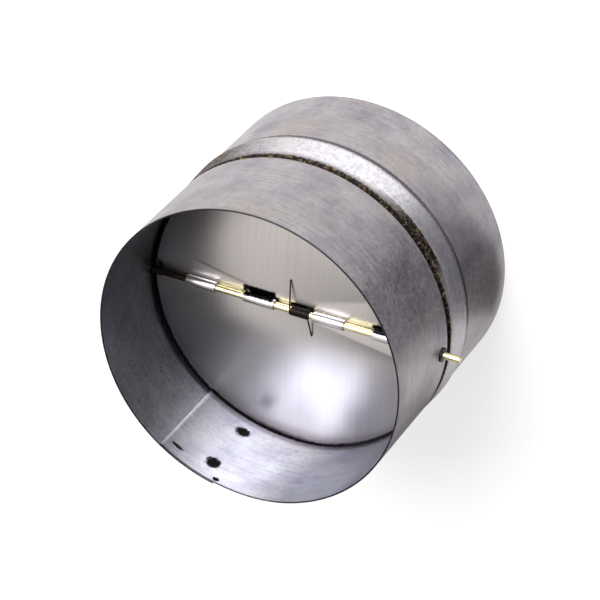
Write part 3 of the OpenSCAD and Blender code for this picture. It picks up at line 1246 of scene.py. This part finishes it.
@dataclass
class PivotBush:
    """A snap-in bush: flange outside the wall, barrel in the hole, lip inside."""

    bore: float = 1.12
    barrel: float = 1.6
    flange: float = 2.3
    lip: float = 2.0
    wall_in: float = 49.43
    wall_out: float = 50.03
    flange_thick: float = 0.6
    lip_thick: float = 0.5
    steps: int = 48

    def build(self) -> tuple[Piece, Piece]:
        """Makes the bush on the +X side and its mirrored copy.

        Returns:
            The right and the left bush, without their material.
        """
        # Radius and X of each corner, from the bore's inner end round the lip and the flange
        outline = (
            (self.bore, self.wall_in - self.lip_thick),
            (self.lip - 0.17, self.wall_in - self.lip_thick),
            (self.lip, self.wall_in - 0.17),
            (self.lip, self.wall_in),
            (self.barrel, self.wall_in),
            (self.barrel, self.wall_out),
            (self.flange - 0.04, self.wall_out),
            (self.flange, self.wall_out + 0.06),
            (self.flange, self.wall_out + 0.34),
            (self.flange - 0.08, self.wall_out + 0.5),
            (self.flange - 0.22, self.wall_out + self.flange_thick),
            (self.bore + 0.08, self.wall_out + self.flange_thick),
            (self.bore, self.wall_out + self.flange_thick - 0.08),
        )
        points = [Vector((x, 0, HINGE_Z + r)) for r, x in outline]
        right = draw_outline("pivot_bush_right_nylon", points)
        spin_round(right, Vector((0, 0, HINGE_Z)), Vector((1, 0, 0)), 360, self.steps)
        tidy_mesh(right)
        shade(right)
        pick(right)
        bpy.ops.object.duplicate()
        left = bpy.context.object
        left.name = "pivot_bush_left_nylon"
        bpy.ops.transform.mirror(constraint_axis=(True, False, False), center_override=(0, 0, 0))
        settle(left)
        tidy_mesh(left)
        shade(left)
        return right, left


class LeafSide(Enum):
    """Which half of the bore a leaf closes."""

    UPPER = "upper_leaf"
    LOWER = "lower_leaf"


@dataclass
class Leaf:
    """A half-round leaf with two rolled knuckles and the notches that clear the other leaf's."""

    side: LeafSide
    radius: float = 48.4
    thickness: float = 0.5
    slope: float = 2.08
    shift: float = 0.5
    edge: float = 0.3
    corner: tuple[float, float] = (2.0, 2.7)
    knuckle_in: float = 1.15
    knuckle_wrap: float = 302.0
    knuckle_steps: int = 30
    knuckles: tuple[tuple[float, float], ...] = ((-36.9, -26.9), (6.6, 17.0))
    notch_gap: float = 0.4
    notch_depth: float = 1.9
    window_depth: float = 2.15
    arc_points: int = 150
    bevel: float = 0.05
    bevel_from: float = 50.0
    sharp_from: float = 25.0

    def window(self) -> tuple[float, float]:
        """Gives the ends of the spring's window along the rod."""
        return (-1.83, 6.03) if self.side is LeafSide.UPPER else (-6.2, 1.83)

    def punched_edge(self) -> list[tuple[float, float, float]]:
        """Lists the stretches of the straight edge.

        Returns:
            The start, the end and the distance from the rod's axis of each.
        """
        reach = self.radius
        marks = [(-reach, self.corner[0] - reach, self.corner[1])]
        marks += [(a, b, 0.0) for a, b in self.knuckles]
        marks += [(-b - self.notch_gap, -a + self.notch_gap, self.notch_depth) for a, b in self.knuckles]
        marks += [(*self.window(), self.window_depth), (reach - self.corner[0], reach, self.corner[1])]
        marks.sort()
        whole = []
        for i, mark in enumerate(marks):
            whole.append(mark)
            if i + 1 < len(marks) and marks[i + 1][0] > mark[1] + 1e-6:
                whole.append((mark[1], marks[i + 1][0], self.edge))
        return whole

    def outline(self) -> list[Vector]:
        """Gives the outline as it is punched from the sheet.

        Returns:
            The outline's corners in millimetres, in the plane of the leaf's lower face.
        """
        start = math.asin(self.corner[1] / self.radius)
        points = []
        for a, b, y in self.punched_edge():
            limit = math.sqrt(self.radius**2 - y**2)
            points += [(max(a, -limit), y), (min(b, limit), y)]
        for i in range(1, self.arc_points):
            turn = start + (math.pi - 2 * start) * i / self.arc_points
            points.append((self.radius * math.cos(turn), self.radius * math.sin(turn)))
        return [Vector((x, y, -(self.knuckle_in + self.thickness))) for x, y in points]

    def build(self) -> Piece:
        """Makes the leaf.

        Returns:
            The piece, without its material.
        """
        leaf = draw_outline(f"{self.side.value}_sheet", self.outline())
        open_whole(leaf)
        bpy.ops.mesh.edge_face_add()
        pull_along([Vector((0, 0, 0)), Vector((0, 0, self.thickness))])
        tidy_mesh(leaf)
        for a, b in self.knuckles:
            self.roll_knuckle(leaf, a, b)
        tidy_mesh(leaf)
        apply_modifier(
            leaf, "BEVEL", width=self.bevel * MM, segments=2, limit_method="ANGLE",
            angle_limit=math.radians(self.bevel_from),
        )
        shade(leaf, self.sharp_from)
        self.hang(leaf)
        return leaf

    def roll_knuckle(self, leaf: Piece, from_x: float, to_x: float) -> None:
        """Rolls one tab round the rod from behind.

        Args:
            leaf: the flat leaf.
            from_x: where the tab starts along the rod.
            to_x: where it ends.
        """

        def tab_end(face: object) -> bool:
            """Says whether a face is the tab's end.

            Args:
                face: the face.

            Returns:
                True where it is.
            """
            middle = face.calc_center_median()
            within = from_x * MM < middle.x < to_x * MM
            return within and abs(middle.y) < 1e-6 and face.normal.y < -0.9

        choose(leaf, "FACE", tab_end)
        turn = -math.radians(self.knuckle_wrap)
        bpy.ops.mesh.spin(steps=self.knuckle_steps, angle=turn, center=(0, 0, 0), axis=(-1, 0, 0))
        deselect()

    def hang(self, leaf: Piece) -> None:
        """Moves the leaf from the drawing board to its place on the rod.

        Args:
            leaf: the finished leaf.
        """
        turned, way = (math.pi, 1) if self.side is LeafSide.LOWER else (0.0, -1)
        leaf.matrix_world = (
            Matrix.Translation(Vector((self.shift, 0, HINGE_Z)) * MM)
            @ Matrix.Rotation(math.radians(self.slope) * way, 4, "X")
            @ Matrix.Rotation(turned, 4, "Z")
        )
        settle(leaf)


@dataclass
class TorsionSpring:
    """The spring that presses both leaves shut: a close coil round the rod and two straight legs."""

    wire: float = 0.5
    turns: int = 11
    turn_steps: int = 28
    pitch: float = 0.56
    coil_radius: float = 1.41
    start_x: float = -0.48
    upper_tip: tuple[float, float, float] = (-1.88, 9.6, -1.2)
    lower_tip: tuple[float, float, float] = (6.18, -8.0, -1.14)
    # Where a leg leaves the coil: how far out, and how far down
    bend: tuple[float, float] = (0.55, 0.02)
    leg_steps: int = 5
    cropped: float = 0.06
    cropped_scale: float = 0.72
    sides: int = 14
    sharp_from: float = 40.0

    def start_wire(self, name: str, x: float, tilt: float) -> Piece:
        """Draws the wire's round section on top of the coil.

        Args:
            name: the piece's name.
            x: where it is along the rod.
            tilt: its turn about X, in radians.

        Returns:
            The wire's object.
        """
        deselect()
        bpy.ops.mesh.primitive_circle_add(
            vertices=self.sides,
            radius=self.wire / 2 * MM,
            location=(x * MM, 0, self.coil_radius * MM),
            rotation=(tilt, 0, 0),
        )
        wire = bpy.context.object
        wire.name = name
        settle(wire)
        return wire

    def end_wire(self, wire: Piece) -> None:
        """Closes the wire's ends and lifts it to the rod.

        Args:
            wire: the coil or a leg.
        """
        choose(wire, "EDGE", lambda e: e.is_boundary)
        bpy.ops.mesh.fill_holes(sides=0)
        deselect()
        tidy_mesh(wire)
        shade(wire, self.sharp_from)
        wire.location.z = HINGE_Z * MM

    def build_coil(self) -> Piece:
        """Winds the coil.

        Returns:
            The coil's mesh object.
        """
        coil = self.start_wire("spring_coil", self.start_x, QUARTER_TURN)
        apply_modifier(
            coil, "SCREW", axis="X", angle=2 * math.pi, screw_offset=self.pitch * MM,
            iterations=self.turns, steps=self.turn_steps, render_steps=self.turn_steps,
            use_merge_vertices=False,
        )
        self.end_wire(coil)
        return coil

    def build_leg(self, side: LeafSide) -> Piece:
        """Draws the leg that presses on one leaf.

        Args:
            side: the leaf.

        Returns:
            The leg's mesh object.
        """
        if side is LeafSide.UPPER:
            name, root_x, tip = "spring_leg_upper", self.start_x, Vector(self.upper_tip)
        else:
            name, root_x = "spring_leg_lower", self.start_x + self.turns * self.pitch
            tip = Vector(self.lower_tip)
        way = math.copysign(1.0, tip.y)
        root = Vector((root_x, 0, self.coil_radius))
        bend = root + Vector((0, self.bend[0] * way, -self.bend[1]))
        leg = self.start_wire(name, root_x, -QUARTER_TURN * way)
        open_whole(leg)
        pull_along([root] + [bend.lerp(tip, i / self.leg_steps) for i in range(self.leg_steps + 1)])
        # The cropped end is a little rounded
        pull_along([tip, tip + (tip - bend).normalized() * self.cropped])
        bpy.ops.transform.resize(value=(self.cropped_scale,) * 3)
        self.end_wire(leg)
        return leg


def main() -> None:
    """Builds every piece, dresses it and hands it to the frame."""
    logging.basicConfig(level=logging.INFO, format="%(message)s")
    Studio().build()
    casing = CasingSheet().build()
    dress(casing, GalvanisedSheet().material(), SHEARED_EDGE.material())
    rim = 0.03 * MM
    for face in casing.data.polygons:
        at_rim = face.center.z < rim or face.center.z > casing.dimensions.z - rim
        face.material_index = 1 if at_rim else 0
    place(casing, "root", "casing")

    rod = HingeRod().build()
    dress(rod, DRAWN_BRASS.material())
    place(rod, "root", "hinge_rod")
    nylon = MOULDED_NYLON.material()
    for bush, node in zip(PivotBush().build(), ("pivot_bush_right", "pivot_bush_left")):
        dress(bush, nylon)
        place(bush, "root", node)
    aluminium = MillAluminium().material()
    for side in LeafSide:
        leaf = Leaf(side).build()
        dress(leaf, aluminium)
        place(leaf, side.value, side.value)

    spring = TorsionSpring()
    wire = TEMPERED_WIRE.material()
    wires = [(spring.build_coil(), "root")] + [(spring.build_leg(side), side.value) for side in LeafSide]
    for piece, body in wires:
        dress(piece, wire)
        place(piece, body, "torsion_spring")


if __name__ == "__main__":
    main()
